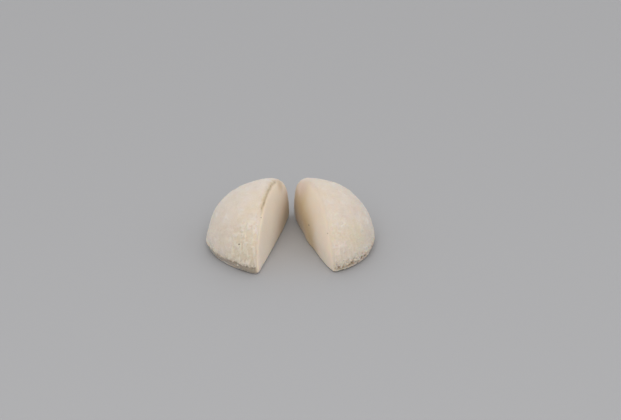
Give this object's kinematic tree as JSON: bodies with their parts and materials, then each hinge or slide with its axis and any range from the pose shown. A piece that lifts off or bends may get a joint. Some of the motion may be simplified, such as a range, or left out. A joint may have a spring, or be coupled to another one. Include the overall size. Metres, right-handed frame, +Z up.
{
  "type": "mochi rice cake",
  "caption": "Soft dome of pounded rice dough dusted with starch, cut down the middle and stood on its flat underside like an opened book.",
  "frame": {"origin": "middle of the pair's footprint, on the surface that the cake stands on", "axes": "+X across the opening from the left half to the right half, +Y from the open front to the back corners that almost touch, +Z up"},
  "size_m": [0.0717, 0.0577, 0.0286],
  "materials": {
    "dough": "matte cream rice dough, satin where cut",
    "starch": "dry matte white powder"
  },
  "bodies": {
    "root": {"half_left": "dough", "half_right": "dough"}
  },
  "joints": []
}
